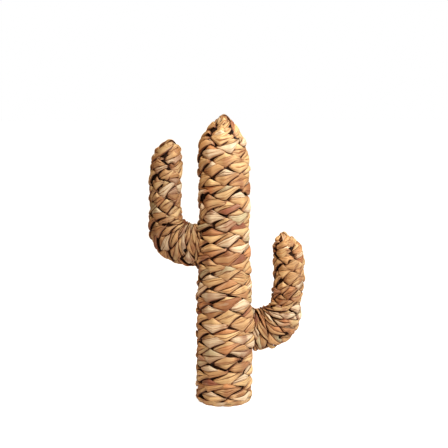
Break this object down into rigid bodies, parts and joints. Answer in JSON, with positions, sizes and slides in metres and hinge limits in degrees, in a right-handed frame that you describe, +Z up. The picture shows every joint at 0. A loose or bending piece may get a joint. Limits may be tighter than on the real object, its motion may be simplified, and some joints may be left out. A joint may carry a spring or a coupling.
{
  "type": "woven cactus rainstick",
  "caption": "Free-standing rainstick in a woven cactus shape: loose pebbles fall past cross pins in a tube inside the trunk when it is tipped over.",
  "frame": {"origin": "centre of the base board's underside, on the surface the part stands on, under the trunk's axis", "axes": "+Z up the trunk; -Y towards the front; +X towards the lower, right arm, with the taller left arm at -X"},
  "size_m": [0.3124, 0.115, 0.58],
  "materials": {
    "woven_stem": "flattened dried water hyacinth stems, straw to red-brown, satin",
    "steel_wire": "dark annealed wire",
    "card_tube": "spirally wound brown card, matt",
    "plywood": "unfinished birch plywood",
    "bamboo": "plain bamboo dowel",
    "pebble": "smooth river gravel",
    "zinc_screw": "zinc-plated steel"
  },
  "bodies": {
    "stick": {"base_board": "plywood", "base_rim": "woven_stem", "base_ring": "steel_wire", "base_screw_1": "zinc_screw", "base_screw_2": "zinc_screw", "base_screw_3": "zinc_screw", "crown_ring": "steel_wire", "left_arm_frame": "steel_wire", "left_arm_skin": "woven_stem", "left_arm_tip_knot": "woven_stem", "lower_plug": "plywood", "lower_ring": "steel_wire", "middle_ring": "steel_wire", "rain_pin_01": "bamboo", "rain_pin_02": "bamboo", "rain_pin_03": "bamboo", "rain_pin_04": "bamboo", "rain_pin_05": "bamboo", "rain_pin_06": "bamboo", "rain_pin_07": "bamboo", "rain_pin_08": "bamboo", "rain_pin_09": "bamboo", "rain_pin_10": "bamboo", "rain_pin_11": "bamboo", "rain_pin_12": "bamboo", "rain_pin_13": "bamboo", "rain_pin_14": "bamboo", "rain_pin_15": "bamboo", "rain_pin_16": "bamboo", "rain_pin_17": "bamboo", "rain_pin_18": "bamboo", "rain_tube": "card_tube", "right_arm_frame": "steel_wire", "right_arm_skin": "woven_stem", "right_arm_tip_knot": "woven_stem", "trunk_skin": "woven_stem", "trunk_tip_knot": "woven_stem", "trunk_wire_01": "steel_wire", "trunk_wire_02": "steel_wire", "trunk_wire_03": "steel_wire", "trunk_wire_04": "steel_wire", "trunk_wire_05": "steel_wire", "trunk_wire_06": "steel_wire", "trunk_wire_07": "steel_wire", "trunk_wire_08": "steel_wire", "trunk_wire_09": "steel_wire", "trunk_wire_10": "steel_wire", "tube_collar": "plywood", "upper_plug": "plywood", "upper_ring": "steel_wire"},
    "pebble_1": {"pebble_1": "pebble"},
    "pebble_2": {"pebble_2": "pebble"},
    "pebble_3": {"pebble_3": "pebble"},
    "pebble_4": {"pebble_4": "pebble"},
    "pebble_5": {"pebble_5": "pebble"},
    "pebble_6": {"pebble_6": "pebble"},
    "pebble_7": {"pebble_7": "pebble"},
    "pebble_8": {"pebble_8": "pebble"}
  },
  "joints": [
    {"name": "pebble_1_fall", "type": "slide", "parent": "stick", "child": "pebble_1", "axis": [0, 0, 1], "range_m": [0, 0.439]},
    {"name": "pebble_2_fall", "type": "slide", "parent": "stick", "child": "pebble_2", "axis": [0, 0, 1], "range_m": [0, 0.439]},
    {"name": "pebble_3_fall", "type": "slide", "parent": "stick", "child": "pebble_3", "axis": [0, 0, 1], "range_m": [0, 0.439]},
    {"name": "pebble_4_fall", "type": "slide", "parent": "stick", "child": "pebble_4", "axis": [0, 0, 1], "range_m": [0, 0.439]},
    {"name": "pebble_5_fall", "type": "slide", "parent": "stick", "child": "pebble_5", "axis": [0, 0, 1], "range_m": [0, 0.439]},
    {"name": "pebble_6_fall", "type": "slide", "parent": "stick", "child": "pebble_6", "axis": [0, 0, 1], "range_m": [0, 0.439]},
    {"name": "pebble_7_fall", "type": "slide", "parent": "stick", "child": "pebble_7", "axis": [0, 0, 1], "range_m": [0, 0.439]},
    {"name": "pebble_8_fall", "type": "slide", "parent": "stick", "child": "pebble_8", "axis": [0, 0, 1], "range_m": [0, 0.439]}
  ]
}
